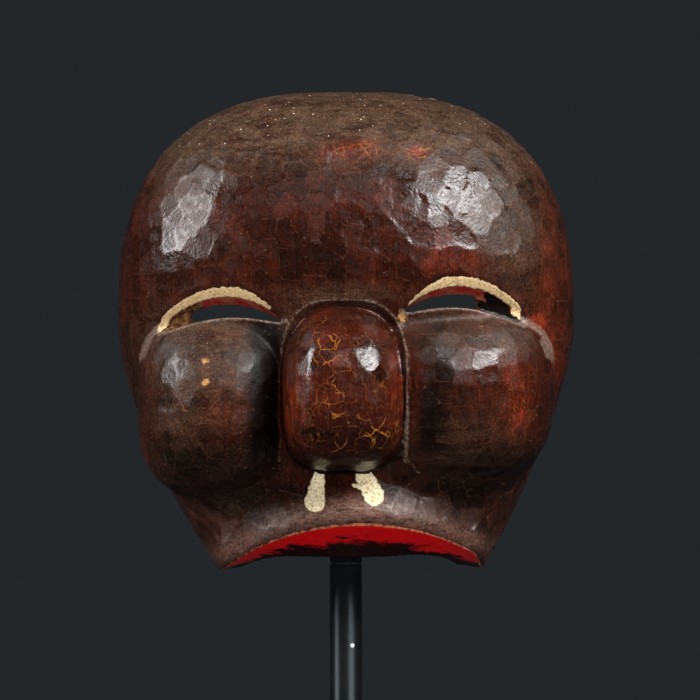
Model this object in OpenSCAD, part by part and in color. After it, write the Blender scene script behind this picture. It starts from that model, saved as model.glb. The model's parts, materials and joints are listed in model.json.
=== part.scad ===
// A carved wooden half mask on a turned steel display stand.
// The mask faces -Y. The origin is the centre of the stand's underside, on the table.

/* [Mask] */
// Width of the mask at the temples
mask_w = 170; // [150:1:185]
// Height of the brow dome above the eye line
dome_h = 85; // [75:1:92]
// Depth of the forehead in front of the rim
face_d = 64; // [58:1:70]
// Drop from the eye line to the lip corners
jaw_h = 94; // [86:1:100]
// Depth of the nose tip in front of the rim
nose_d = 84; // [76:1:90]
// Width of the nose
nose_w = 47; // [40:1:52]
// Thickness of the wooden wall
wall = 8; // [6:0.5:9]
// Diameter of the two tie-cord holes by the temples
cord_hole_d = 3.5; // [2.5:0.5:5]

/* [Stand] */
// Height of the eye line above the table
eye_h = 200; // [190:1:260]
// Base plate width, left to right
base_w = 150; // [130:5:200]
// Base plate depth, front to back
base_d = 130; // [130:5:180]
// Base plate thickness
base_t = 10; // [8:1:15]
// Diameter of the upright post
post_d = 12; // [10:1:14]
// Distance of the post's axis in front of the mask's rim
post_setback = 20; // [16:1:24]
// Diameter of the inner upright rod
rod_d = 6; // [5:0.5:8]

/* [Detail] */
// Angle between the rings of points on the carved dome
dome_step = 3.5; // [3:0.5:6]
// Angle between the rings of points on the cheeks and nose
globe_step = 9; // [7:1:15]

/* [Hidden] */
$fn = 64;

half_w = mask_w / 2;
front_power = 2.62;      // roundness of the outline seen from the front
side_power = 2.4;        // roundness of the face seen from above
hollow_power = 2.6;      // roundness of the wearer's side
reach = 140;             // rays from the centre end here at the latest
slit_turn = 18;          // the slits are cut square to the face, turned this far outwards
lip_thick = 16;          // depth of the painted lip face
felt_t = 2;
glue_t = 0.1;
pad_t = 1.5;

// Cheek globes: [centre, radii] as [across, forward, up]
left_cheek = [[-49.5, 35, -31.5], [27, 34, 33]];
right_cheek = [[41, 35, -27], [35.5, 34, 31.5]];
cheek_lean = 0.14;         // rise of the cheeks towards the nose, in mm per mm

// Eye slits: [centre across, half length, height, bow, tilt, half opening, side]
left_eye = [-46.5, 23, -2.8, 7.2, -2.2, 4, -1];
right_eye = [44, 22.5, 0.6, 7.6, -2.4, 4.1, 1];

// ---- blends ----
function limit(lo, hi, v) = min(hi, max(lo, v));
function ease(lo, hi, v) = let (t = limit(0, 1, (v - lo) / (hi - lo))) t * t * (3 - 2 * t);
function smooth_min(a, b, k) =
    let (h = limit(0, 1, 0.5 + 0.5 * (b - a) / k))
    b + (a - b) * h - k * h * (1 - h);
function smooth_max(a, b, k) = -smooth_min(-a, -b, k);

// A rounded box form: size is [across, forward, up] from its centre; negative inside
function pillow(p, size, front, side) =
    let (flat = pow(abs(p.x) / size.x, front) + pow(abs(p.z) / size.z, front),
         g = pow(pow(flat, side / front) + pow(abs(p.y) / size.y, side), 1 / side))
    g < 0.001 ? -min(size) : norm(p) * (1 - 1 / g);

// ---- outer form, in mask terms: [across, forward of the rim, above the eye line] ----
function half_width(z) = half_w * (1 - 0.43 * pow(limit(0, 1.15, -z / jaw_h), 1.6));
function face_depth(z) = face_d - 12 * ease(26, -22, z) - 5 * ease(-20, -jaw_h, z);
function sway(z) = 1.5 * ease(-55, -88, z);      // the jaw is carved a little off centre
function head(p) = pillow([p.x - sway(p.z), p.y, max(p.z, 0)], [half_width(p.z), face_depth(p.z), dome_h],
                          front_power, side_power);
function cheek(p, c) =
    let (q = p - c[0])
    pillow([q.x, q.y + cheek_lean * q.x * sign(c[0].x), q.z], c[1], 2.9, 2.1);

nose_top = 5.5;
nose_bottom = -56;
nose_root = 36;
function nose(p) =
    let (half = (nose_top - nose_bottom) / 2,
         q = p - [-1, nose_root, (nose_top + nose_bottom) / 2],
         u = limit(-1, 1, q.z / half),
         width = nose_w / 2 * (1 - 0.05 * ease(0, half, q.z)))
    pillow([q.x, q.y, q.z + 5 * (1 - u * u)], [width, nose_d - nose_root, half], 3, 3);

function lip_edge(x) = -75.3 - 17 * pow((limit(-47, 53, x) - 5) / 50, 2);
function lip_back(x) = -87.6 - 5.5 * pow((x - 4) / 50, 2);
function lip_front(x) = lip_thick + 40 - 34 * pow(limit(0, 1.1, abs(x - 2) / 52), 2.2);
function lip_roll(p) =
    let (x = limit(-40, 43, p.x), r = 8 - 3.5 * pow((x - 2) / 52, 2))
    0.95 * norm(p - [x, lip_front(x) - r, lip_edge(x) + 3]) - r;

function brow_and_lip(p) = smooth_min(head(p), lip_roll(p), 10);

// ---- the wearer's side ----
eye_socket = [19.5, 30, 26];
nose_socket = [15, 40, 24];
eye_socket_places = [[-49, 31, -32], [49, 31, -30]];
nose_socket_place = [0, 34, -26];
function room(p) = pillow([p.x - sway(p.z), p.y, max(p.z, 0)],
                          [half_width(p.z) - wall, face_depth(p.z) - wall, dome_h - wall],
                          hollow_power, hollow_power);

// ---- star-shaped solids: each point is where a ray from the centre leaves the form ----
function leaves(form, centre, ray, lo = 2, hi = reach, n = 17) =
    let (mid = (lo + hi) / 2)
    n == 0 ? centre + mid * ray
    : form(centre + mid * ray) < 0 ? leaves(form, centre, ray, mid, hi, n - 1)
    : leaves(form, centre, ray, lo, mid, n - 1);
function ray(tilt, turn) = [sin(tilt) * cos(turn), cos(tilt), sin(tilt) * sin(turn)];
function placed(p) = [p.x, post_setback - p.y, p.z + eye_h];

// Tilts are measured from straight ahead, turns go round from the wearer's left
module star(form, centre, tilts, turns) {
    count = len(turns);
    tip = len(tilts) * count;
    points = [
        for (tilt = tilts) for (turn = turns) leaves(form, centre, ray(tilt, turn)),
        leaves(form, centre, [0, 1, 0]),
        leaves(form, centre, [0, -1, 0])
    ];
    faces = [
        for (i = [0:len(tilts) - 2]) for (j = [0:count - 1])
            let (a = i * count + j, b = i * count + (j + 1) % count)
            each [[a, b, b + count], [a, b + count, a + count]],
        for (j = [0:count - 1]) let (k = (j + 1) % count)
            each [[tip, k, j], [tip + 1, tip - count + j, tip - count + k]]
    ];
    polyhedron([for (p = points) placed(p)], faces);
}

every_way = [for (a = [0:12:348]) a];
globe_tilts = [for (t = [globe_step:globe_step:175]) t];

module outer_form() {
    dome_tilts = [for (t = [dome_step:dome_step:88]) t, 91, 120, 150];
    dome_turns = [for (a = [0:7.5:180]) a, for (a = [184.5:4.5:355.5]) a];   // closer together round the lip
    star(function (p) brow_and_lip(p), [0, 0, -5], dome_tilts, dome_turns);
    star(function (p) cheek(p, left_cheek), left_cheek[0], globe_tilts, every_way);
    star(function (p) cheek(p, right_cheek), right_cheek[0], globe_tilts, every_way);
    star(function (p) nose(p), [-1, nose_root, -25], globe_tilts, every_way);
}

module hollow() {
    tilts = [for (t = [12:12:168]) t];
    turns = [for (a = [0:15:345]) a];
    room_tilts = [for (t = [4.5:4.5:87]) t, 95, 130, 160];
    room_turns = [for (a = [0:7.5:352.5]) a];
    star(function (p) room(p), [0, 0, -5], room_tilts, room_turns);
    for (c = eye_socket_places) star(function (p) pillow(p - c, eye_socket, 2.4, 2.1), c, tilts, turns);
    star(function (p) pillow(p - nose_socket_place, nose_socket, 2.4, 2.1), nose_socket_place, tilts, turns);
}

// Cutter for the underside. A bevel, the painted lip face, rises forwards from the flat lower edge.
module under_lip(steps = 24, low = -160, far = 120) {
    points = [
        for (i = [0:steps])
            let (x = 62 * (2 * i / steps - 1), front = lip_front(x), back = lip_back(x),
                 top = lip_edge(x) + 10 * (lip_edge(x) - back) / lip_thick)
            each [[x, far, low], [x, far, top], [x, front + 10, top], [x, front - lip_thick, back],
                  [x, -5, back], [x, -5, low]]
    ];
    last = 6 * steps;
    faces = [
        for (i = [0:steps - 1]) for (k = [0:5])
            let (a = 6 * i + k, b = 6 * i + (k + 1) % 6) each [[a, b + 6, a + 6], [a, b, b + 6]],
        for (k = [1:4]) each [[0, k + 1, k], [last, last + k, last + k + 1]]
    ];
    polyhedron([for (p = points) placed(p)], faces);
}

// A crescent seen from the front, with its outline starting at the origin
function crescent(e, steps = 12) =
    let (middle = function (u) e[3] * (1 - u * u) + e[4] * (u + 1),
         at = function (u, side) [(u + 1) * e[1], middle(u) + side * e[5] * pow(1 - u * u, 0.6)])
    concat([for (i = [0:steps]) at(2 * i / steps - 1, -1)],
           [for (i = [steps - 1:-1:1]) at(2 * i / steps - 1, 1)]);

// Cutter for one eye slit, square to the face. It narrows towards the wearer, most at the outer end.
module eye_slit(e) {
    translate(placed([e[0] - e[6] * e[1], 62.5, e[2] - e[4]])) rotate([0, 0, e[6] * slit_turn])
        rotate([-90, 0, 0]) mirror([0, 1, 0]) mirror([e[6] < 0 ? 1 : 0, 0, 0])
        linear_extrude(height = 19, scale = [0.58, 0.8], slices = 1) polygon(crescent(e));
}

module cord_hole(side) {
    translate(placed([side * (half_w - wall / 2), 10, 12])) rotate([0, 90, 0])
        cylinder(d = cord_hole_d, h = 3 * wall, center = true, $fn = 24);
}

module mask_shell() {
    color([0.28, 0.09, 0.06]) difference() {
        outer_form();
        hollow();
        translate([-100, post_setback, 0]) cube([200, 80, eye_h + 100]);
        under_lip();
        eye_slit(left_eye);
        eye_slit(right_eye);
        cord_hole(-1);
        cord_hole(1);
    }
}

// ---- stand ----
pad_inset = 2;
corner_r = 5;
edge_bevel = 1;
pad_bevel = 0.2;
screw_d = 6;
screw_head_d = 12;
screw_head_h = 3.4;
post_recess = 2;
seam_z = eye_h - 90;             // where the swivel head starts, just under the lip
washer_t = 0.6;
post_top = seam_z - washer_t;
spigot_d = 6;
spigot_h = 9;
spigot_gap = 0.04;
groove_z = seam_z + 4;           // the set screw's point runs in this groove, so the head can't lift
groove_w = 2.4;
groove_floor_r = 2.2;
point_d = 1.8;
point_r = 2.5;                   // how near the axis the point reaches
set_screw_d = 3;
head_h = 22;
fork_d = 4;
fork_z = seam_z + 13;
fork_half = 16;
fork_reach = 36.7 - post_setback;     // tips stop just short of the lip's inner face
bend_r = 6;
sleeve_d = 6.4;
sleeve_l = 9;
saddle_r = 180;
saddle_angle = 14;
saddle_t = 3;
saddle_w = 14;
saddle_top = eye_h + 71.8 - felt_t;   // top of the steel saddle, under its felt
black = [0.03, 0.03, 0.035];

module bevelled_bar(w, h, bevel, long) {
    rotate([90, 0, 0]) translate([0, 0, -long / 2]) linear_extrude(height = long)
        polygon([[-w / 2, 0], [w / 2, 0], [w / 2, h - bevel], [w / 2 - bevel, h], [bevel - w / 2, h],
                 [-w / 2, h - bevel]]);
}

// A plate with round corners and a bevel round its top edge
module rounded_plate(w, d, h, r, bevel) {
    bevelled_bar(w, h, bevel, d - 2 * r);
    rotate([0, 0, 90]) bevelled_bar(d, h, bevel, w - 2 * r);
    for (x = [-1, 1]) for (y = [-1, 1]) translate([x * (w / 2 - r), y * (d / 2 - r), 0]) {
        cylinder(r = r, h = h - bevel);
        translate([0, 0, h - bevel]) cylinder(r1 = r, r2 = r - bevel, h = bevel);
    }
}

module base_plate() {
    color(black) difference() {
        translate([0, 0, pad_t]) rounded_plate(base_w, base_d, base_t, corner_r, edge_bevel);
        translate([0, 0, pad_t - 1]) cylinder(d = screw_d + 0.6, h = base_t + 2);
        translate([0, 0, pad_t - 0.01])
            cylinder(d1 = screw_head_d + 0.6, d2 = screw_d + 0.6, h = screw_head_h + 0.01);
        translate([0, 0, pad_t + base_t - post_recess]) cylinder(d = post_d, h = post_recess + 1);
    }
}

module base_felt() {
    color([0.08, 0.09, 0.08]) difference() {
        rounded_plate(base_w - 2 * pad_inset, base_d - 2 * pad_inset, pad_t, corner_r - pad_inset, pad_bevel);
        translate([0, 0, -1]) cylinder(d = screw_head_d + 4, h = pad_t + 2);
    }
}

module post_screw() {
    color([0.5, 0.5, 0.52]) translate([0, 0, pad_t + 0.1]) difference() {
        union() {
            cylinder(d1 = screw_head_d, d2 = screw_d, h = screw_head_h - 0.2);
            cylinder(d = screw_d, h = 22);
        }
        translate([0, 0, -1]) cylinder(d = 4.6, h = 3.4, $fn = 6);
    }
}

module post() {
    bottom = pad_t + base_t - post_recess;
    color(black) difference() {
        union() {
            translate([0, 0, bottom]) cylinder(d = post_d, h = post_top - bottom - 0.5);
            translate([0, 0, post_top - 0.5]) cylinder(d1 = post_d, d2 = post_d - 1, h = 0.5);
            translate([0, 0, post_top]) cylinder(d = spigot_d, h = spigot_h);
        }
        translate([0, 0, bottom - 1]) cylinder(d = screw_d, h = 16);
        translate([0, 0, groove_z - groove_w / 2]) rotate_extrude()
            translate([groove_floor_r, 0]) square([2, groove_w]);
    }
}

module swivel_washer() {
    color([0.2, 0.2, 0.2]) translate([0, 0, post_top]) difference() {
        cylinder(d = post_d - 1, h = washer_t);
        translate([0, 0, -1]) cylinder(d = spigot_d + 0.2, h = washer_t + 2);
    }
}

module swivel_head() {
    bore_d = spigot_d + 2 * spigot_gap;
    color(black) difference() {
        union() {
            translate([0, 0, seam_z]) cylinder(d1 = post_d - 1, d2 = post_d, h = 0.5);
            translate([0, 0, seam_z + 0.5]) cylinder(d = post_d, h = head_h - 2);
            translate([0, 0, seam_z + head_h - 1.5]) cylinder(d1 = post_d, d2 = post_d - 3, h = 1.5);
        }
        translate([0, 0, seam_z - 1]) cylinder(d = bore_d, h = spigot_h + 1.2);
        translate([0, 0, seam_z + head_h - 5]) cylinder(d = rod_d, h = 6);
        translate([0, 0, fork_z]) rotate([0, 90, 0]) cylinder(d = fork_d, h = post_d + 2, center = true);
        translate([0, 0, groove_z]) rotate([-90, 0, 0]) cylinder(d = set_screw_d, h = post_d);
    }
}

module set_screw() {
    thread_r = spigot_d / 2 + 0.35;
    color([0.45, 0.45, 0.47]) translate([0, 0, groove_z]) rotate([-90, 0, 0]) difference() {
        union() {
            translate([0, 0, point_r]) cylinder(d = point_d, h = thread_r - point_r + 0.1);
            translate([0, 0, thread_r]) cylinder(d = set_screw_d, h = post_d / 2 - thread_r - 0.3);
        }
        translate([0, 0, thread_r + 1]) cylinder(d = 1.7, h = 5, $fn = 6);
    }
}

module support_fork() {
    color(black) translate([0, 0, fork_z]) {
        rotate([0, 90, 0]) cylinder(d = fork_d, h = 2 * (fork_half - bend_r), center = true);
        for (side = [-1, 1]) mirror([side < 0 ? 1 : 0, 0, 0]) {
            translate([fork_half - bend_r, -bend_r, 0]) rotate_extrude(angle = 90)
                translate([bend_r, 0]) circle(d = fork_d, $fn = 32);
            translate([fork_half, -bend_r, 0]) rotate([90, 0, 0])
                cylinder(d = fork_d, h = fork_reach - bend_r - 1);
        }
    }
}

module fork_sleeve(side) {
    tip = 0.8;
    color([0.12, 0.12, 0.12]) translate([side * fork_half, -fork_reach, fork_z]) rotate([-90, 0, 0])
        difference() {
            union() {
                cylinder(d1 = sleeve_d - 2 * tip, d2 = sleeve_d, h = tip);
                translate([0, 0, tip]) cylinder(d = sleeve_d, h = sleeve_l - tip);
            }
            translate([0, 0, 1]) cylinder(d = fork_d, h = sleeve_l);
        }
}

module upright_rod() {
    bottom = seam_z + head_h - 5;
    color(black) translate([0, 0, bottom]) cylinder(d = rod_d, h = saddle_top - saddle_t - bottom);
}

// A band of an arch over the upright, between two radii about the saddle's centre of curvature
module arch_band(inner, outer, width) {
    translate([0, width / 2, saddle_top - saddle_r]) rotate([90, 0, 0]) rotate([0, 0, 90 - saddle_angle / 2])
        rotate_extrude(angle = saddle_angle, $fn = 128) translate([inner, 0]) square([outer - inner, width]);
}

module brow_saddle() {
    color(black) difference() {
        arch_band(saddle_r - saddle_t, saddle_r, saddle_w);
        translate([0, 0, saddle_top - saddle_t - 5]) cylinder(d = rod_d, h = 5.05);
    }
}

module saddle_felt() {
    color([0.08, 0.09, 0.08]) arch_band(saddle_r + glue_t, saddle_r + felt_t, saddle_w);
}

mask_shell();
base_plate();
base_felt();
post_screw();
post();
swivel_washer();
swivel_head();
set_screw();
support_fork();
fork_sleeve(-1);  // left_fork_sleeve
fork_sleeve(1);  // right_fork_sleeve
upright_rod();
brow_saddle();
saddle_felt();
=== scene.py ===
"""Looks for a carved and lacquered half mask on its turning stand.

The mask's form is written in millimetres, and placed() turns it into the frame's metres.
"""

import json
import math

import bpy
import numpy as np
import openvdb
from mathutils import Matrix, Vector, kdtree


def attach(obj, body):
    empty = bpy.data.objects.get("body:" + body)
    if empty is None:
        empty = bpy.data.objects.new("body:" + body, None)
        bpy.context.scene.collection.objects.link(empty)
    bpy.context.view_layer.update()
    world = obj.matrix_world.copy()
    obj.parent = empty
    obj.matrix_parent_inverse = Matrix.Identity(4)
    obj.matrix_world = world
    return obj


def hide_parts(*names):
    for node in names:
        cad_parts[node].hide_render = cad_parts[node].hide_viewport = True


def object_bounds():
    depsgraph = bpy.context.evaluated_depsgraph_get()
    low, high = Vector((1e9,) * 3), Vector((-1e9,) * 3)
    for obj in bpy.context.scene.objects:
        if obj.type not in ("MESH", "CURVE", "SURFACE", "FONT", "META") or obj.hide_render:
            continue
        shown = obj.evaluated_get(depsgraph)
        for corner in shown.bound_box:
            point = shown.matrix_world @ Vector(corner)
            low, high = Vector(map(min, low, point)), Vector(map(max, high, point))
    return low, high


# ---- driving dimensions, the same as the CAD part's ----
EYE_H = 200.0            # eye line above the table
SETBACK = 20.0           # post axis in front of the mask's rim
HALF_W = 85.0            # half the width at the temples
DOME_H = 85.0            # height of the brow dome above the eye line
FACE_D = 64.0            # depth of the forehead in front of the rim
JAW_H = 94.0             # drop from the eye line to the lip corners
WALL = 8.0
FRONT_POWER = 2.62       # squareness of the dome from the front
SIDE_POWER = 2.4         # and from the side
LIP_THICK = 16.0         # from the flat lower edge forwards to the lip's front
CHEEK_LEAN = 0.14        # rise of the cheeks towards the nose
CHEEK_POWER = 2.9        # squareness of the cheeks from the front

# Centre and half sizes of each cheek, and of the hollows behind the cheeks and the nose
CHEEKS = [((-49.5, 35.0, -31.5), (27.0, 34.0, 33.0)), ((41.0, 35.0, -27.0), (35.5, 34.0, 31.5))]
SOCKETS = [((-49.0, 31.0, -32.0), (19.5, 30.0, 26.0)), ((49.0, 31.0, -30.0), (19.5, 30.0, 26.0)),
           ((0.0, 34.0, -26.0), (15.0, 40.0, 24.0))]
NOSE_TOP, NOSE_BOTTOM, NOSE_ROOT, NOSE_TIP, NOSE_HALF = 5.5, -56.0, 36.0, 84.0, 23.5

# Eye slits: the middle's place, half the length, the bow and tilt of the middle line, half the opening,
# the outer side, how much it narrows inwards at the outer end, and how far the cream paint runs along it
EYES = [dict(x=-46.5, half=23.0, z=-2.8, bow=7.2, tilt=-2.2, open=4.0,
             side=-1, taper=0.08, paint=(-0.82, 1.0)),
        dict(x=44.0, half=22.5, z=0.6, bow=7.6, tilt=-2.4, open=4.1,
             side=1, taper=0.115, paint=(-0.93, 0.9))]
CORD_HOLE_R = 1.75

# ---- detail ----
VOXEL = 0.9              # size of the mesh's quads
FACET = 8.0              # spacing of the adze cuts on the outside
FACET_TILT = 0.028       # how unevenly they are tilted, in radians
FACET_BLEND = 1.8        # how soft the ridges between them are, in square mm
LID_BEVEL = 2.2          # depth of the painted bevel over each eye slit
LID_RISE = 3.1           # height of that bevel
PAINT_THICK = 0.35       # thickness of the paint under the nose
BOX_MARGIN = 0.05        # how far the mesh stays inside the CAD part's box
FAR = 9.0                # a distance in mm that is well off a patch of paint
POST_SPECK = (2.4, -5.5, 79.4)    # a pale speck on the front of the post
SEED = 7

# Soft patches of redder lacquer, of dust that is also painted sheen, of darker lacquer that is also painted
# shade, of duller lacquer, of orange cracks and of pale flecks of paint.
# Each is (across, up, half width, half height, amount).
WARM = [(1.5, 63, 14, 5, 1.0), (26, 62, 5, 3, 0.8), (41, 21, 13, 6, 0.8), (74, 24, 4, 22, 0.5),
        (64, -32, 6, 9, 0.6), (70.5, -1, 3, 3, 1.6), (77, -12, 5, 14, 0.5), (19, -26, 4, 22, 0.5),
        (-20, -32, 4, 18, 0.4), (-47, -36, 8, 8, 0.4), (-1, -20, 18, 18, 0.35), (52, 6, 9, 5, 0.5)]
DUST_AND_SHEEN = [(-55, -22, 20, 26, 0.6), (-50, -4, 22, 8, 0.5), (50, -6, 20, 7, 0.7), (62, 34, 13, 26, 0.7),
        (-62, 50, 14, 12, 0.4), (1, 9.5, 24, 3.5, 0.55), (-14, 4, 7, 4, 0.4),
        (-40, -70, 12, 6, 0.4), (44, -46, 18, 12, 0.45), (-20, -2, 6, 6, 0.4)]
DARKER_AND_SHADE = [(-37, -65, 16, 9, 1.0), (-60, -50, 12, 10, 0.6), (44, -60, 14, 8, 0.9), (33, -38, 4, 11, 1.0),
        (-18, 24, 34, 10, 0.5), (34, -14, 6, 12, 0.8), (58, -52, 12, 8, 0.4), (0, -47, 22, 6, 0.4)]
DULL = [(-40, -14, 6, 7, 1.0), (39, -13, 5, 6, 0.8), (65, -12, 5, 5, 0.6), (-32, -8, 4, 5, 0.8)]
CRAZED = [(-7, -11, 7, 9, 1.0), (-4, -30, 5, 9, 0.8), (14, -40, 9, 5, 0.9), (-3, -46, 14, 3, 0.7),
          (65, -30, 6, 12, 0.5), (28, 61, 6, 4, 1.0), (5, 62, 12, 4, 0.7), (-62, -35, 6, 8, 0.5)]
FLECKS = [(-51.4, -15.3, 1.5, 1.5, 1.0), (-51.4, -22.7, 1.5, 1.8, 1.0), (20.5, 1.0, 1.8, 2.0, 1.2)]

rng = np.random.default_rng(SEED)
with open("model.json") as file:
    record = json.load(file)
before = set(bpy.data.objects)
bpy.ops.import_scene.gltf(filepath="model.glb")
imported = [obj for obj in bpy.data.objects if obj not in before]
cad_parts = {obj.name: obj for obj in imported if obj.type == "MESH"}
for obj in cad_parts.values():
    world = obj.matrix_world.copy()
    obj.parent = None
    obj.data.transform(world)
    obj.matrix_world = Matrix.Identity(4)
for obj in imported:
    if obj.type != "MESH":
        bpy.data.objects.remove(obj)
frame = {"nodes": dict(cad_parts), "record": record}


# ---- blends ----
def smin(a, b, k):
    """The smaller of two distances, blended over about k mm."""
    h = np.clip(0.5 + 0.5 * (b - a) / k, 0, 1)
    return b + (a - b) * h - k * h * (1 - h)


def smax(a, b, k):
    return -smin(-a, -b, k)


def step(lo, hi, v):
    """A smooth change from 0 at lo to 1 at hi."""
    t = np.clip((v - lo) / (hi - lo), 0, 1)
    return t * t * (3 - 2 * t)


def bump(v, centre, width):
    """A smooth hump of height 1."""
    return np.exp(-((v - centre) / width) ** 2)


def pillow(x, d, z, size, front, side):
    """A rounded box about the origin, with about the distance to its skin in mm; negative inside."""
    flat = (np.abs(x) / size[0]) ** front + (np.abs(z) / size[2]) ** front
    g = (flat ** (side / front) + (np.abs(d) / size[1]) ** side) ** (1 / side)
    return np.sqrt(x * x + d * d + z * z) * (1 - 1 / np.maximum(g, 1e-3))


# ---- the carved form: x across, d forward of the rim, z above the eye line ----
def half_width(z):
    return HALF_W * (1 - 0.43 * np.clip(-z / JAW_H, 0, 1.15) ** 1.6)


def face_depth(z):
    return FACE_D - 12 * step(26, -22, z) - 5 * step(-20, -JAW_H, z)


def sway(z):
    """How far the jaw is carved to the right of the middle."""
    return 1.5 * step(-55, -88, z)


def head(x, d, z):
    """The brow dome, and below the eye line the narrowing face."""
    size = (half_width(z), face_depth(z), DOME_H)
    return pillow(x - sway(z), d, np.maximum(z, 0), size, FRONT_POWER, SIDE_POWER)


def globe(x, d, z, centre, size, front=2.4, lean=0.0):
    """A bulb that rises towards the middle of the face by its lean, in mm per mm."""
    across = x - centre[0]
    return pillow(across, d - centre[1] + lean * across * np.sign(centre[0]), z - centre[2], size, front, 2.1)


def nose(x, d, z):
    """The barrel of the nose. Its root and lower end are drawn up and down at the middle."""
    half = (NOSE_TOP - NOSE_BOTTOM) / 2
    up = z - (NOSE_TOP + NOSE_BOTTOM) / 2
    u = np.clip(up / half, -1, 1)
    width = NOSE_HALF * (1 - 0.05 * step(0, half, up))
    return pillow(x + 1, d - NOSE_ROOT, up + 5 * (1 - u * u), (width, NOSE_TIP - NOSE_ROOT, half), 3, 3)


def nose_frame(x, z):
    """Distance in mm from the raised line round the nose's sides and top; negative inside."""
    across, up = x + 0.8, z + 24.4
    g = ((np.abs(across) / 23.3) ** 3 + (np.abs(up) / 31.7) ** 3) ** (1 / 3)
    gap = np.hypot(across, up) * (1 - 1 / np.maximum(g, 1e-3))
    return np.where(z > -52, gap, np.hypot(gap, z + 52) + 0.15 * (-52 - z))


def lip_edge(x):
    """Height of the lip's front edge."""
    return -75.3 - 17 * ((np.clip(x, -47, 53) - 5) / 50) ** 2


def lip_back(x):
    """Height of the lip's flat lower edge behind it."""
    return -87.6 - 5.5 * ((x - 4) / 50) ** 2


def lip_front(x):
    """How far the lip's front edge is in front of the rim."""
    return LIP_THICK + 40 - 34 * np.clip(np.abs(x - 2) / 52, 0, 1.1) ** 2.2


def lip_roll(x, d, z):
    """The rounded roll along the lip's front edge."""
    xc = np.clip(x, -40, 43)
    r = 8 - 3.5 * ((xc - 2) / 52) ** 2
    return 0.95 * np.sqrt((x - xc) ** 2 + (d - lip_front(xc) + r) ** 2 + (z - lip_edge(xc) - 3) ** 2) - r


def under_lip(x, d, z):
    """Positive under the lip, where the wood ends: a bevel rises forwards from the flat lower edge."""
    t = np.clip((lip_front(x) - d) / LIP_THICK, -0.5, 1)
    return 0.8 * (lip_edge(x) + (lip_back(x) - lip_edge(x)) * t - z)


def moustache(x, z):
    """Signed distance in mm to the two thick strokes of paint under the nose; negative on the paint."""
    def stroke(a, b, ra, rb):
        t = np.clip(((x - a[0]) * (b[0] - a[0]) + (z - a[1]) * (b[1] - a[1]))
                    / ((b[0] - a[0]) ** 2 + (b[1] - a[1]) ** 2), 0, 1)
        return np.hypot(x - a[0] - t * (b[0] - a[0]), z - a[1] - t * (b[1] - a[1])) - ra - (rb - ra) * t
    left = stroke((-10.0, -57.5), (-11.4, -66.8), 2.1, 3.8)
    right = stroke((6.6, -57.5), (10.4, -64.6), 3.2, 3.7)
    spur = stroke((2.6, -60.6), (6.5, -61.5), 0.7, 1.4)
    return np.minimum.reduce([left, right, spur])


def slit_lines(x, e):
    """Along an eye slit: how far out, how open, its middle, lid and floor, and the bevel's rise."""
    u = (x - e["x"]) * e["side"] / e["half"]
    bell = np.clip(1 - u * u, 0, 1)
    mid = e["z"] + e["bow"] * bell + e["tilt"] * u
    half = e["open"] * bell ** 0.6
    rise = LID_RISE * np.clip((1 + u) * 1.6, 0, 1) ** 0.8 * np.clip((1 - u) * 10, 0, 1) ** 0.5
    return u, bell, mid, mid + half, mid - half, rise


def slit(x, z, deep, e):
    """An eye slit. Its lid is bevelled and slopes down inwards, its outer end runs out into a recess."""
    u, bell, _, lid, floor, rise = slit_lines(x, e)
    shrink = np.clip(deep, 0, 14)
    drop = 0.5 * np.clip(deep - LID_BEVEL, 0, 5) + 0.12 * shrink
    lid = lid - drop * bell ** 0.5 + rise * np.clip(1 - deep / LID_BEVEL, 0, 1)
    f = np.maximum(z - lid, floor - z)
    f = smax(f, (u - 1 + e["taper"] * shrink) * e["half"], 1.0)
    return smax(f, (-1 - u) * e["half"], 1.0)


def layers(x, d, z):
    """The surfaces that the carving is made of, by name."""
    n = nose(x, d, z)
    base = smin(head(x, d, z), lip_roll(x, d, z), 10)
    cheeks = np.minimum.reduce([globe(x, d, z, *cheek, CHEEK_POWER, CHEEK_LEAN) for cheek in CHEEKS])
    face = smin(base, cheeks, 2 + 8 * step(-14, -52, z))
    ledge = np.sqrt(base * base + cheeks * cheeks) - 1.2 * step(-30, -18, z) * step(50, 60, np.abs(x))
    face = np.where(ledge < 3, smin(face, ledge, 0.8), face)
    frame_line = nose_frame(x, z)
    face = face - 0.8 * bump(frame_line, 0, 0.9) + 0.7 * bump(frame_line, -3, 1.8) * step(-2, 4, z)
    outer = smin(face, n, 0.8)
    return dict(nose=n, base=base, cheeks=cheeks, ledge=ledge, face=face, outer=outer,
                cut=under_lip(x, d, z), frame=frame_line)


def inside(x, d, z):
    """The hollow behind the face."""
    width = np.maximum(half_width(z) - WALL, 1)
    f = pillow(x - sway(z), d, np.maximum(z, 0), (width, face_depth(z) - WALL, DOME_H - WALL), 2.6, 2.6)
    for centre, size in SOCKETS:
        f = smin(f, globe(x, d, z, centre, size), 5)
    return f


def rim_chip(x, d, z):
    """The chip that is broken out of the top rim."""
    return pillow(x - 28, d - 1, z - 85.5, (9, 8, 3.6), 2, 2)


def brow_nick(x, z, outer):
    """A short slanting nick in the skin of the brow, right of the nose."""
    across, up = x - 15.7, z - 18.6
    return pillow(across * 0.8 + up * 0.6, outer, up * 0.8 - across * 0.6, (2.7, 1.2, 0.55), 2, 2)


def carving(x, d, z):
    """The whole mask, as about the distance to its surface in mm; negative in the wood."""
    s = layers(x, d, z)
    outer = s["outer"] - PAINT_THICK * step(0.3, -0.7, moustache(x, z)) * step(38, 42, d)
    f = smax(outer, s["cut"], 0.8)
    f = smax(f, -inside(x, d, z), 1.0)
    for e in EYES:
        f = smax(f, -slit(x, z, -outer, e), 0.5)
    f = smax(f, -rim_chip(x, d, z), 0.4)
    f = smax(f, -brow_nick(x, z, s["outer"]), 0.2)
    hole = np.hypot(d - 10, z - 12) - CORD_HOLE_R
    return np.where(np.abs(x) > 60, smax(f, -hole, 0.3), f)


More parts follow.
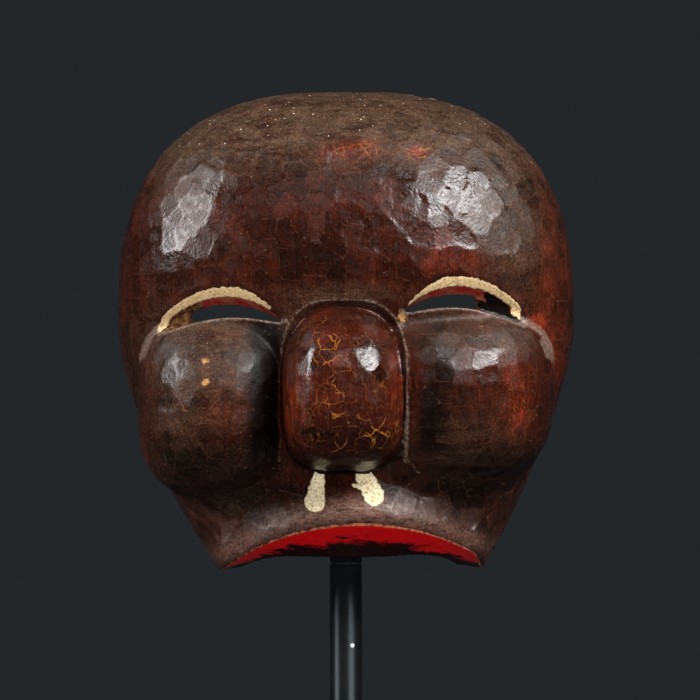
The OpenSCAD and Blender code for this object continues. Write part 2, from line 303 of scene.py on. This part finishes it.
# ---- from the form to a mesh ----
def sampled(lo, hi):
    """The form on a fine grid. Blocks far from the skin only get the value at their middle."""
    block = 4
    n = [int(math.ceil((b - a) / VOXEL / block)) * block for a, b in zip(lo, hi)]
    axes = [a + VOXEL * np.arange(m) for a, m in zip(lo, n)]
    half = VOXEL * (block - 1) / 2
    mids = [a[::block] + half for a in axes]
    middles = np.meshgrid(*mids, indexing="ij")
    coarse = carving(*[c.ravel() for c in middles]).reshape(middles[0].shape)
    grid = np.repeat(np.repeat(np.repeat(coarse, block, 0), block, 1), block, 2).astype(np.float32)
    near = np.argwhere(np.abs(coarse) < 5.5)
    inner = np.stack(np.meshgrid(*[np.arange(block)] * 3, indexing="ij"), -1).reshape(-1, 3)
    for part in np.array_split(near, max(1, len(near) // 4000)):
        i = (part[:, None, :] * block + inner[None]).reshape(-1, 3)
        grid[i[:, 0], i[:, 1], i[:, 2]] = carving(*[axes[k][i[:, k]] for k in range(3)])
    return grid


def gradient(p, h=0.15):
    g = np.empty_like(p)
    for k in range(3):
        q = p.copy()
        q[:, k] += h
        r = p.copy()
        r[:, k] -= h
        g[:, k] = (carving(*q.T) - carving(*r.T)) / (2 * h)
    return g


def skin():
    """Points, quads and unit normals of the mask's whole surface."""
    lo = np.array([-87.0, -3.0, -96.0])
    field = np.clip(sampled(lo, (87.0, 87.0, 87.0)), -3, 3)
    vdb = openvdb.FloatGrid(background=3.0)
    vdb.copyFromArray(field)
    points, quads = vdb.convertToQuads(0.0)
    p = lo + VOXEL * points.astype(float)
    for _ in range(2):
        g = gradient(p)
        p -= np.clip(carving(*p.T), -0.6, 0.6)[:, None] * g / np.maximum((g * g).sum(1), 0.3)[:, None]
    flat = p[:, 1] < 0
    p[flat, 1] = 0
    g = gradient(p)
    return p, quads, g / np.maximum(np.linalg.norm(g, axis=1), 1e-6)[:, None]


def adze_cuts(p, normals, strength):
    """Flattens the skin into small facets. Also tells where their ridges are, and a tone for each."""
    order = rng.permutation(len(p))
    cells = np.floor(p[order] / FACET).astype(int) @ np.array([1, 1000, 1000000])
    chosen = order[np.unique(cells, return_index=True)[1]]
    centres, facing = p[chosen], normals[chosen] + rng.normal(0, FACET_TILT, (len(chosen), 3))
    facing /= np.linalg.norm(facing, axis=1)[:, None]
    tree = kdtree.KDTree(len(centres))
    for i, c in enumerate(centres):
        tree.insert(c, i)
    tree.balance()
    moved, ridge, tone = np.zeros((3, len(p)))
    rows = np.nonzero(strength > 0.01)[0]
    found = [tree.find_n(q, 4) for q in p[rows]]
    index = np.array([[f[1] for f in fs] for fs in found])
    far = np.array([[f[2] for f in fs] for fs in found]) ** 2
    weight = np.exp(-(far - far[:, :1]) / FACET_BLEND)
    n = normals[rows][:, None, :]
    lean = (facing[index] * n).sum(2)
    offset = ((centres[index] - p[rows][:, None, :]) * facing[index]).sum(2) / np.maximum(lean, 0.6)
    weight *= lean > 0.7
    moved[rows] = (weight * offset).sum(1) / np.maximum(weight.sum(1), 1e-6)
    apart = np.linalg.norm(centres[index[:, 0]] - centres[index[:, 1]], axis=1)
    ridge[rows] = bump((far[:, 1] - far[:, 0]) / (2 * apart), 0, 0.7) * strength[rows]
    tone[rows] = rng.uniform(-1, 1, len(centres))[index[:, 0]] * strength[rows]
    return p + normals * (np.clip(moved, -0.5, 0.3) * strength)[:, None], {"ridge": ridge, "tone": tone}


def placed(p):
    """From millimetres in the form's terms to metres in the frame's."""
    return np.stack([p[:, 0], SETBACK - p[:, 1], p[:, 2] + EYE_H], 1) / 1000


def mesh_object(name, points, faces, body, fields):
    """A smooth mesh with one float attribute for each field, riding on a body."""
    mesh = bpy.data.meshes.new(name)
    mesh.vertices.add(len(points))
    mesh.vertices.foreach_set("co", points.astype(np.float32).ravel())
    mesh.loops.add(faces.size)
    mesh.loops.foreach_set("vertex_index", faces.astype(np.int32).ravel())
    mesh.polygons.add(len(faces))
    mesh.polygons.foreach_set("loop_start", np.arange(0, faces.size, faces.shape[1], dtype=np.int32))
    mesh.update(calc_edges=True)
    mesh.polygons.foreach_set("use_smooth", np.ones(len(faces), bool))
    for key, values in fields.items():
        layer = mesh.attributes.new(key, "FLOAT", "POINT")
        layer.data.foreach_set("value", np.asarray(values, np.float32))
    obj = bpy.data.objects.new(name, mesh)
    bpy.context.collection.objects.link(obj)
    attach(obj, body)
    return obj


# ---- materials ----
class Shader:
    """A short way to write node materials. Positions in textures are in millimetres."""

    def __init__(self, name):
        self.mat = bpy.data.materials.new(name)
        self.mat.use_nodes = True
        self.tree = self.mat.node_tree
        self.bsdf = self.tree.nodes["Principled BSDF"]
        coords = self.tree.nodes.new("ShaderNodeTexCoord")
        self.mm = self.vector("MULTIPLY", coords.outputs["Object"], (1000, 1000, 1000))

    def wire(self, value, socket):
        """Links an output to the socket, or sets the socket to a number or colour."""
        if isinstance(value, bpy.types.NodeSocket):
            self.tree.links.new(value, socket)
        elif isinstance(value, (tuple, list)) and len(value) == 3 and socket.type == "RGBA":
            socket.default_value = (*value, 1)
        else:
            socket.default_value = value

    def vector(self, op, a, b):
        node = self.tree.nodes.new("ShaderNodeVectorMath")
        node.operation = op
        self.wire(a, node.inputs[0])
        self.wire(b, node.inputs[1])
        return node.outputs[0]

    def math(self, op, a, b):
        node = self.tree.nodes.new("ShaderNodeMath")
        node.operation = op
        self.wire(a, node.inputs[0])
        self.wire(b, node.inputs[1])
        return node.outputs[0]

    def field(self, name):
        """One of the mask's own attributes."""
        node = self.tree.nodes.new("ShaderNodeAttribute")
        node.attribute_name = name
        return node.outputs["Fac"]

    def noise(self, size, detail, rough, stretch=(1, 1, 1), warp=0.0):
        """Noise of a size in mm. A stretch below 1 draws it out along that axis."""
        node = self.tree.nodes.new("ShaderNodeTexNoise")
        self.wire(self.vector("MULTIPLY", self.mm, stretch), node.inputs["Vector"])
        node.inputs["Scale"].default_value = 1 / size
        node.inputs["Detail"].default_value = detail
        node.inputs["Roughness"].default_value = rough
        node.inputs["Distortion"].default_value = warp
        return node.outputs["Fac"]

    def cells(self, size, feature="F1", warp=0.0):
        """Distance to the middles or the edges of random cells, which the warp bends by about its mm."""
        node = self.tree.nodes.new("ShaderNodeTexVoronoi")
        node.feature = feature
        place = self.mm
        if warp:
            wobble = self.tree.nodes.new("ShaderNodeTexNoise")
            self.wire(self.mm, wobble.inputs["Vector"])
            wobble.inputs["Scale"].default_value = 1 / size
            shift = self.vector("SUBTRACT", wobble.outputs["Color"], (0.5, 0.5, 0.5))
            place = self.vector("ADD", self.mm, self.vector("MULTIPLY", shift, (2 * warp,) * 3))
        self.wire(place, node.inputs["Vector"])
        node.inputs["Scale"].default_value = 1 / size
        return node.outputs["Distance"]

    def along(self, axis):
        """The position in mm along one axis, 0 to 2."""
        node = self.tree.nodes.new("ShaderNodeSeparateXYZ")
        self.wire(self.mm, node.inputs[0])
        return node.outputs[axis]

    def near(self, point, radius):
        """1 at a point given in mm, fading to 0 at the radius."""
        node = self.tree.nodes.new("ShaderNodeVectorMath")
        node.operation = "DISTANCE"
        self.wire(self.mm, node.inputs[0])
        node.inputs[1].default_value = point
        return self.span(node.outputs["Value"], radius, 0.5 * radius)

    def total(self, *terms):
        """The sum of (value, factor) pairs."""
        out = self.math("MULTIPLY", *terms[0])
        for value, factor in terms[1:]:
            out = self.math("ADD", out, self.math("MULTIPLY", value, factor))
        return out

    def span(self, value, lo, hi, to_lo=0.0, to_hi=1.0):
        """A smooth change from to_lo at lo to to_hi at hi."""
        node = self.tree.nodes.new("ShaderNodeMapRange")
        node.interpolation_type = "SMOOTHSTEP"
        for socket, v in zip(node.inputs[:5], (value, lo, hi, to_lo, to_hi)):
            self.wire(v, socket)
        return node.outputs[0]

    def mix(self, fac, a, b, kind="MIX"):
        node = self.tree.nodes.new("ShaderNodeMix")
        node.data_type = "RGBA"
        node.blend_type = kind
        self.wire(fac, node.inputs[0])
        self.wire(a, node.inputs[6])
        self.wire(b, node.inputs[7])
        return node.outputs[2]

    def ramp(self, fac, *stops):
        """A colour between (place, colour) stops."""
        node = self.tree.nodes.new("ShaderNodeValToRGB")
        elements = node.color_ramp.elements
        while len(elements) < len(stops):
            elements.new(0.5)
        for element, (at, colour) in zip(elements, stops):
            element.position = at
            element.color = (*colour, 1)
        self.wire(fac, node.inputs[0])
        return node.outputs[0]

    def finish(self, colour, rough, height=None, lift=0.1, **numbers):
        """The material, with a bump of lift mm and any other shader inputs as plain numbers."""
        self.wire(colour, self.bsdf.inputs["Base Color"])
        self.wire(rough, self.bsdf.inputs["Roughness"])
        for key, value in numbers.items():
            self.bsdf.inputs[key.replace("_", " ")].default_value = value
        if height is not None:
            node = self.tree.nodes.new("ShaderNodeBump")
            node.inputs["Distance"].default_value = lift / 1000
            self.wire(height, node.inputs["Height"])
            self.wire(node.outputs[0], self.bsdf.inputs["Normal"])
        return self.mat


def lacquered_wood():
    """The old painted and lacquered skin, with wear, dust, a painted sheen and painted shade from the mask's
    attributes.
    """
    s = Shader("lacquered_wood")
    broad = s.noise(30, 4, 0.6, warp=0.5)
    blotch = s.noise(8, 6, 0.72, warp=0.8)
    grain = s.noise(0.7, 3, 0.75)
    brush = s.noise(0.8, 4, 0.7, stretch=(1, 1, 0.1))
    scratch = s.noise(0.7, 4, 0.7, stretch=(0.12, 1, 0.8), warp=0.3)
    ragged = s.math("SUBTRACT", s.noise(1.8, 4, 0.7), 0.5)
    pores = s.noise(1.1, 1, 0.5)

    # layers of old lacquer, from soot black through red-brown to worn orange, darkened also as painted shade
    # on the lower cheeks and beside and under the nose
    depth = s.total((broad, 0.24), (blotch, 0.22), (grain, 0.3), (brush, 0.24),
                    (s.field("warm"), 0.13), (s.field("darker_and_shade"), -0.1), (s.field("tone"), 0.03))
    colour = s.ramp(depth, (0.39, (0.004, 0.0015, 0.0012)), (0.46, (0.013, 0.0032, 0.0019)),
                    (0.51, (0.027, 0.0048, 0.0022)), (0.57, (0.052, 0.0078, 0.003)),
                    (0.68, (0.2, 0.022, 0.006)))
    glow = s.total((grain, 1), (s.field("warm"), 0.12), (s.field("crackle"), 0.07))
    colour = s.mix(s.span(glow, 0.72, 0.82, 0, 0.7), colour, (0.36, 0.085, 0.014))

    # dust, which is also a painted grey sheen on the brow and painted light on the top and the cheeks' tops,
    # less so on the red patches, and paler lacquer on the lip's roll
    sweep = s.noise(5, 5, 0.7, stretch=(0.15, 1, 1.1))
    dust_sheen_spread = s.span(s.total((sweep, 0.7), (grain, 0.3), (s.field("tone"), 0.06)), 0.34, 0.53)
    less_on_red = s.span(s.field("warm"), 0.2, 1.0, 1.0, 0.35)
    dust_and_sheen_amount = s.math("MULTIPLY", s.math("MULTIPLY", s.field("dust_and_sheen"), dust_sheen_spread), less_on_red)
    dust_sheen_colour = s.ramp(s.total((scratch, 0.28), (grain, 0.45), (blotch, 0.27)), (0.4, (0.011, 0.006, 0.004)),
                  (0.51, (0.058, 0.032, 0.017)), (0.63, (0.2, 0.12, 0.065)))
    colour = s.mix(s.math("MULTIPLY", dust_and_sheen_amount, 0.75), colour, dust_sheen_colour)
    rolled = s.ramp(s.total((scratch, 0.6), (grain, 0.4)),
                    (0.4, (0.016, 0.007, 0.005)), (0.6, (0.3, 0.16, 0.115)))
    colour = s.mix(s.math("MULTIPLY", s.field("roll"), 0.8), colour, rolled)

    # rubbed ridges between the adze cuts, partly a painted highlight, painted shade in the hollows, and pale
    # worn edges
    # the ridges are lightened partly as wear, partly as a painted highlight along the facet edges
    ridge_wear_and_glint = s.span(s.total((s.field("ridge"), 0.8), (blotch, -0.9)), 0.12, 0.5, 0, 0.3)
    colour = s.mix(ridge_wear_and_glint, colour, (0.15, 0.065, 0.035))
    # near black painted as shade in the hollows beside, above and under the nose
    colour = s.mix(s.math("MULTIPLY", s.field("painted_shade"), 0.97), colour, (0.0015, 0.0006, 0.0006))
    edge = s.span(s.total((s.field("worn"), 1), (blotch, -0.5), (ragged, 0.9)), 0.1, 0.55, 0, 0.75)
    colour = s.mix(edge, colour, s.ramp(grain, (0.4, (0.06, 0.032, 0.024)), (0.62, (0.33, 0.22, 0.17))))

    # orange lines where the lacquer has crazed
    crazing = s.cells(5.5, "DISTANCE_TO_EDGE", warp=2.0)
    patchy = s.total((s.noise(5, 5, 0.75), 1), (s.field("crackle"), 0.12))
    crazed = s.math("MULTIPLY", s.span(crazing, 0.05, 0.0), s.span(patchy, 0.52, 0.64))
    colour = s.mix(s.math("MULTIPLY", crazed, s.field("crackle")), colour, (0.4, 0.13, 0.02))

    # white specks of dust, and flecks of pale paint
    specks = s.math("MULTIPLY", s.span(s.cells(3.6), 0.085, 0.05), s.span(s.field("dust_and_sheen"), 0.7, 0.95))
    colour = s.mix(specks, colour, (0.75, 0.68, 0.6))
    spots = s.mix(grain, (0.25, 0.08, 0.015), (0.78, 0.46, 0.16))
    colour = s.mix(s.span(s.total((s.field("fleck"), 1), (ragged, 2.4)), 0.3, 0.9, 0, 0.75), colour, spots)

    # the lip's red face, rubbed black towards the back
    worn_off = s.total((s.field("lip_back"), 0.8), (s.noise(9, 6, 0.75, stretch=(0.5, 1, 1)), 1.2))
    red = s.mix(grain, (0.38, 0.0005, 0.002), (0.62, 0.002, 0.005))
    red = s.mix(s.span(worn_off, 0.9, 1.06), red, (0.010, 0.001, 0.001))
    on_lip = s.span(s.total((s.field("lip"), 1), (ragged, 0.5)), 0.35, 0.0)
    colour = s.mix(on_lip, colour, red)
    lip_line = s.span(s.total((s.field("lip_line"), 1), (ragged, 0.8)), 0.5, 0.25, 0, 0.75)
    colour = s.mix(lip_line, colour, s.mix(grain, (0.55, 0.03, 0.02), (0.75, 0.36, 0.16)))

    # paint round the eyes and under the nose
    ochre = s.ramp(s.noise(2.5, 5, 0.75), (0.38, (0.10, 0.012, 0.008)), (0.46, (0.05, 0.022, 0.009)),
                   (0.6, (0.26, 0.13, 0.045)))
    colour = s.mix(s.field("ochre"), colour, ochre)
    pink = s.mix(s.span(s.noise(5, 4, 0.7), 0.42, 0.62), (0.3, 0.018, 0.016), (0.3, 0.1, 0.05))
    colour = s.mix(s.span(s.total((s.field("pink"), 1), (ragged, 1.2)), 0.2, -0.2), colour, pink)
    on_cream = s.span(s.total((s.field("cream"), 1), (ragged, 2.6)), 0.12, -0.12)
    cream = s.ramp(s.noise(0.9, 4, 0.8), (0.35, (0.16, 0.09, 0.04)), (0.43, (0.66, 0.5, 0.28)),
                   (0.52, (0.86, 0.74, 0.48)), (0.7, (0.94, 0.88, 0.66)))
    cream = s.mix(s.field("matt"), s.mix(0.8, cream, (0.92, 0.74, 0.56), "MULTIPLY"), cream)
    colour = s.mix(on_cream, colour, cream)
    bare = s.ramp(s.noise(0.8, 3, 0.6, stretch=(0.1, 1, 1)),
                  (0.35, (0.30, 0.17, 0.08)), (0.65, (0.52, 0.36, 0.2)))
    colour = s.mix(s.span(s.field("bare"), 0.3, 0.7), colour, bare)

    polish = s.span(s.noise(3.5, 5, 0.7), 0.3, 0.7, 0.15, 0.33)
    rough = s.total((polish, 1), (grain, 0.1), (s.field("dust_and_sheen"), 0.24), (s.field("matt"), 0.2),
                    (s.field("painted_shade"), 0.12), (on_cream, 0.35), (on_lip, -0.25),
                    (s.field("tone"), 0.07), (s.field("ridge"), -0.08))
    height = s.total((pores, 0.7), (brush, 0.12), (grain, 0.06), (on_cream, 0.5))
    return s.finish(colour, rough, height, 0.16, Specular_IOR_Level=0.42)


def inner_wood():
    """Bare, stained wood in the hollow."""
    s = Shader("inner_wood")
    grain = s.noise(1.4, 4, 0.6, stretch=(1, 1, 0.06))
    stain = s.noise(18, 5, 0.6, warp=0.5)
    colour = s.ramp(grain, (0.3, (0.07, 0.035, 0.018)), (0.5, (0.15, 0.08, 0.04)),
                    (0.7, (0.24, 0.14, 0.075)))
    colour = s.mix(s.span(stain, 0.42, 0.62, 0, 0.7), colour, (0.045, 0.022, 0.013))

    # lacquer that has run over the rim's inner edge
    lapped = s.span(s.total((s.along(1), 1), (s.noise(3, 4, 0.7), 6)), SETBACK - 0.2, SETBACK + 1)
    colour = s.mix(lapped, colour, (0.025, 0.005, 0.0025))
    return s.finish(colour, s.span(grain, 0.3, 0.7, 0.55, 0.75), grain, 0.2)


def black_steel(name="black_steel", rough=0.4, **numbers):
    """Blackened steel with a soft shine."""
    s = Shader(name)
    grain = s.noise(0.35, 2, 0.6)
    rubbed = s.noise(14, 4, 0.6)
    colour = s.ramp(rubbed, (0.35, (0.003, 0.0035, 0.004)), (0.7, (0.007, 0.008, 0.0092)))
    colour = s.mix(s.near(POST_SPECK, 1.0), colour, (0.75, 0.75, 0.72))
    return s.finish(colour, s.span(rubbed, 0.3, 0.7, rough, rough + 0.08), grain, 0.01,
                    Specular_IOR_Level=0.8, Specular_Tint=(0.8, 0.93, 1, 1), **numbers)


def turned_steel():
    """Black steel whose fine turning marks draw its highlights out along the post."""
    return black_steel("turned_steel", 0.46, Anisotropic=0.9, Anisotropic_Rotation=0.25)


def plain_steel():
    """Bright screws."""
    s = Shader("plain_steel")
    brushed = s.noise(0.25, 3, 0.6, stretch=(1, 1, 0.1))
    colour = s.ramp(brushed, (0.3, (0.38, 0.38, 0.4)), (0.7, (0.6, 0.6, 0.62)))
    return s.finish(colour, s.span(brushed, 0.3, 0.7, 0.25, 0.4), brushed, 0.01, Metallic=1.0)


def nylon():
    """The black slip washer."""
    s = Shader("nylon")
    cloud = s.noise(2, 3, 0.6)
    colour = s.ramp(cloud, (0.3, (0.012, 0.012, 0.013)), (0.7, (0.022, 0.022, 0.023)))
    return s.finish(colour, 0.5, cloud, 0.01)


def rubber():
    """The fork's tips."""
    s = Shader("rubber")
    cloud = s.noise(1.2, 4, 0.6)
    colour = s.ramp(cloud, (0.3, (0.012, 0.012, 0.012)), (0.7, (0.03, 0.03, 0.03)))
    return s.finish(colour, s.span(cloud, 0.3, 0.7, 0.6, 0.8), cloud, 0.03)


def felt():
    """The dark felt under the foot and on the saddle."""
    s = Shader("felt")
    fibre = s.noise(0.5, 5, 0.8, warp=1.5)
    colour = s.ramp(fibre, (0.3, (0.012, 0.014, 0.013)), (0.7, (0.05, 0.055, 0.05)))
    return s.finish(colour, 0.95, fibre, 0.3, Sheen_Weight=0.3)


# ---- build ----
def blobs(x, z, patches):
    """Soft round patches, each (across, up, half width, half height, amount)."""
    marks = [amount * bump(np.hypot((x - a) / w, (z - b) / h), 0, 1) for a, b, w, h, amount in patches]
    return np.clip(sum(marks), 0, 1)


def strip(x, z, a, b, width):
    """A soft straight mark from a to b."""
    t = np.clip(((x - a[0]) * (b[0] - a[0]) + (z - a[1]) * (b[1] - a[1])) / math.dist(a, b) ** 2, 0, 1)
    return bump(np.hypot(x - a[0] - t * (b[0] - a[0]), z - a[1] - t * (b[1] - a[1])), 0, width)


def eye_fields(x, d, z, deep, fields):
    """Adds the paint round both eye slits to the fields, and painted shade in the right slit's outer recess.
    """
    for e in EYES:
        u, _, mid, lid, floor, rise = slit_lines(x, e)
        near = (np.abs(u) < 1.1) & (d > 20)
        ends = (np.abs(u) - 1) * e["half"]
        painted = np.maximum(e["paint"][0] - u, u - e["paint"][1]) * e["half"]
        bevel = np.maximum.reduce([z - lid - rise - 0.2, deep - LID_BEVEL, mid - z, painted])
        under = np.maximum.reduce([LID_BEVEL - deep, deep - 7.5, mid - z, ends, (u - 0.3) * 8])
        arris = np.hypot(z - floor, deep)
        behind = (deep > 0.7) & (z < lid + rise) & (z > floor - 3) & (u > 0.2)
        fields["cream"] = np.where(near, np.minimum(fields["cream"], bevel), fields["cream"])
        fields["pink"] = np.where(near, np.minimum(fields["pink"], under), fields["pink"])
        skin_below = near * (deep < 2)
        # the left slit's outer recess shows ochre wood, the right one's is painted shade
        recess = "ochre" if e["side"] < 0 else "painted_shade"
        for key, value in (("worn", near * 0.75 * bump(np.maximum(arris - 0.3, 0), 0, 1.0)),
                           ("dust_and_sheen", skin_below * 0.6 * bump(z - floor, -3, 4.5)),
                           ("matt", skin_below * 0.75 * bump(z - floor, -4, 5.5)),
                           (recess, near * behind * (bevel > 0.3))):
            fields[key] = np.maximum(fields[key], value)


def nose_groove(z, s, off_nose):
    """The shadowed groove inside the raised line over the nose."""
    return 0.7 * bump(s["frame"], -3.6, 2.2) * step(-6, 2, z) * off_nose


def hollow_shade(x, z, s, off_nose):
    """How dark the shade painted into the hollows beside, above and under the nose is."""
    left_valley = bump(np.maximum(np.abs(x + 29.5) - 3.5, 0), 0, 3) * step(4, -4, z) * step(-62, -50, z)
    right_cleft = bump(np.maximum(np.abs(x - 30) - 1.5, 0), 0, 2.2) * step(-20, -28, z) * step(-54, -44, z)
    right_pinch = bump(s["nose"], 1, 2.5) * step(-6, -14, z) * step(-62, -50, z) * (x > 0)
    under_nose = step(-46, -56, z) * step(2.5, 0.2, s["nose"])
    beside_nose = np.maximum.reduce([left_valley, 0.8 * right_cleft, right_pinch]) * off_nose
    return np.maximum.reduce([beside_nose, under_nose, nose_groove(z, s, off_nose)])


def pale_wear(x, z, s, off_nose):
    """How far the lacquer is rubbed off the raised lines by the nose, over the cheeks and beside the eyes."""
    nose_line = 0.7 * bump(s["frame"], 0, 0.8) * off_nose
    creases = np.maximum.reduce([1.3 * strip(x, z, (22.3, -20), (22.6, -38), 0.9),
                                 1.5 * strip(x, z, (22.6, -38), (21.8, -52), 1.1),
                                 strip(x, z, (21.8, -50), (26.5, -56), 1.5),
                                 strip(x, z, (-23.5, -36), (-24.5, -52), 1.1)])
    off_ledge = np.maximum(np.hypot(s["base"], s["cheeks"]) - 1.2, 0)
    ledge_line = 0.8 * bump(off_ledge, 0, 1.2) * step(-22, -12, z) * step(52, 60, np.abs(x))
    temples = np.maximum(strip(x, z, (-73, -8), (-75, -13), 2.0), strip(x, z, (73, -8), (75, -13), 2.0))
    return np.maximum.reduce([nose_line, 0.5 * creases * off_nose, ledge_line, 0.9 * temples])


def fields_for(p):
    """What the lacquer's material needs to know at each point of the skin."""
    x, d, z = p.T
    s = layers(x, d, z)
    outer = s["outer"]
    deep = -outer
    shown = outer > -1.0
    off_nose = s["nose"] > 0.9
    under_nose = step(-44, -56, z) * off_nose
    dull = 1.5 * blobs(x, z, DULL) * off_nose
    on_nose = step(3, 0, s["nose"]) * step(6, -2, z) * step(-52, -40, z)
    lip_middle = 0.35 + 0.65 * bump(x, -2, 26)
    fields = {
        "cream": np.where((d > 38) & off_nose & (z < -54.5), moustache(x, z), FAR),
        "pink": np.full(len(p), FAR),
        "ochre": np.zeros(len(p)),
        "worn": pale_wear(x, z, s, off_nose) * shown,
        # dust, also painted as a grey sheen on the brow and as light on the top and the cheeks' tops
        "dust_and_sheen": np.clip(step(46, 70, z) + blobs(x, z, DUST_AND_SHEEN) * off_nose, 0, 1) * (outer > -2),
        # painted shade for the hollows beside, above and under the nose
        "painted_shade": hollow_shade(x, z, s, off_nose),
        "warm": blobs(x, z, WARM),
        # darker lacquer, and painted shade on the lower cheeks and beside and under the nose
        "darker_and_shade": blobs(x, z, DARKER_AND_SHADE),
        "matt": np.maximum.reduce([under_nose, 0.8 * nose_groove(z, s, off_nose), dull]),
        "crackle": np.maximum(0.3 * on_nose, blobs(x, z, CRAZED)),
        "fleck": blobs(x, z, FLECKS) * shown,
        "roll": bump(z - lip_edge(x) - 6, 0, 4.5) * lip_middle * shown,
        "lip": -s["cut"] + 0.3 * (deep < 0.25),
        "lip_back": np.clip((lip_front(x) - d) / LIP_THICK, 0, 1),
        "lip_line": np.minimum(np.hypot(s["cut"], outer), 3),
        "bare": (rim_chip(x, d, z) < 0.5) * 1.0,
        "inner": step(-1.0, 0.4, -np.abs(inside(x, d, z))) * (deep > 3),
    }
    eye_fields(x, d, z, deep, fields)
    return fields


def build_mask(cad_high):
    """The mask with its adze cuts, kept just inside the CAD part's box."""
    p, quads, normals = skin()
    s = layers(*p.T)
    outside = step(-0.8, -0.3, s["outer"]) * step(-0.8, -1.6, s["cut"])
    calm = (1 - bump(s["frame"], 0, 1.6)) * step(0.5, 3, np.hypot(s["face"], s["nose"]))
    calm *= step(0.5, 3, s["ledge"]) * step(0.3, 1.5, moustache(*p[:, [0, 2]].T))
    for e in EYES:
        u, _, _, lid, floor, rise = slit_lines(p[:, 0], e)
        off_slit = np.maximum.reduce([p[:, 2] - lid - rise, floor - p[:, 2], (np.abs(u) - 1) * e["half"]])
        calm *= step(0.2, 2.0, off_slit)
    p, facets = adze_cuts(p, normals, outside * calm)
    widest = 1000 * cad_high[0] - BOX_MARGIN
    highest = 1000 * cad_high[2] - EYE_H - BOX_MARGIN
    p = np.clip(p, (-widest, -np.inf, -np.inf), (widest, np.inf, highest))
    fields = fields_for(p) | facets
    mask = mesh_object("mask", placed(p), quads[:, ::-1], "mask", fields)
    mask.data.materials.append(lacquered_wood())
    mask.data.materials.append(inner_wood())
    flags = (fields["inner"][quads].mean(1) > 0.5).astype(np.int32)
    mask.data.polygons.foreach_set("material_index", flags)
    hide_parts("mask_shell")


def dress_stand():
    """Gives the stand's CAD nodes their materials."""
    looks = {"black_steel": black_steel(), "plain_steel": plain_steel(), "nylon": nylon(),
             "rubber": rubber(), "felt": felt()}
    turned = turned_steel()
    slots = {part["node"]: part["material_slot"] for part in frame["record"]["subparts"]}
    for node, obj in frame["nodes"].items():
        if slots[node] in looks:
            for material in obj.material_slots:
                material.material = turned if node in ("post", "swivel_head") else looks[slots[node]]


def set_stage():
    """A pale floor disc that isn't seen in reflections, in a dark grey room."""
    bpy.ops.mesh.primitive_circle_add(vertices=128, radius=0.6, fill_type="NGON", location=(0, 0, 0))
    floor = bpy.context.object
    floor.name = "floor"
    s = Shader("floor_paper")
    cloud = s.noise(90, 3, 0.5)
    colour = s.ramp(cloud, (0.3, (0.30, 0.30, 0.295)), (0.7, (0.34, 0.34, 0.335)))
    floor.data.materials.append(s.finish(colour, 0.8))
    floor.visible_glossy = False
    world = bpy.data.worlds.new("studio")
    bpy.context.scene.world = world
    world.use_nodes = True
    world.node_tree.nodes["Background"].inputs["Color"].default_value = (0.0172, 0.0202, 0.0228, 1)
    world.node_tree.nodes["Background"].inputs["Strength"].default_value = 1.0


def softbox(name, yaw, lift, far, width, height, watts, glossy=True):
    """A rectangular lamp aimed at the mask.

    Its yaw is in degrees to the right of the mask's front, and its lift in degrees above the horizon.
    """
    aim = Vector((0, -0.02, EYE_H / 1000))
    data = bpy.data.lights.new(name, "AREA")
    data.shape = "RECTANGLE"
    data.size, data.size_y, data.energy = width, height, watts
    lamp = bpy.data.objects.new(name, data)
    bpy.context.collection.objects.link(lamp)
    a, e = math.radians(yaw), math.radians(lift)
    away = Vector((math.sin(a) * math.cos(e), -math.cos(a) * math.cos(e), math.sin(e)))
    lamp.location = aim + away * far
    lamp.rotation_mode = "QUATERNION"
    lamp.rotation_quaternion = away.to_track_quat("Z", "Y")
    lamp.visible_glossy = glossy


def set_camera():
    """A long lens straight in front of the mask."""
    data = bpy.data.cameras.new("camera")
    camera = bpy.data.objects.new("camera", data)
    bpy.context.collection.objects.link(camera)
    mask_plane = (SETBACK - 5) / 1000
    away = 3.0
    view_width = 0.261
    to_right = 0.0015
    below_eyes = 0.0112
    data.sensor_width = 36
    data.lens = data.sensor_width * away / view_width
    camera.location = (to_right, mask_plane - away, EYE_H / 1000 - below_eyes)
    camera.rotation_euler = (math.pi / 2, 0, 0)
    bpy.context.scene.camera = camera


bpy.context.scene.view_settings.view_transform = "Standard"
cad_low, cad_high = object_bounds()
build_mask(cad_high)
dress_stand()
set_stage()
softbox("right_softbox", 49, 39, 1.1, 0.64, 0.38, 18.6)
softbox("left_softbox", -76, 27, 1.0, 0.32, 0.56, 9.6)
softbox("top_fill", 0, 48, 1.6, 1.4, 0.3, 1.4)
softbox("front_fill", 4, 5, 1.6, 1.0, 0.4, 15.5, glossy=False)
softbox("back_fill", 180, 8, 1.6, 1.0, 0.4, 6, glossy=False)
set_camera()
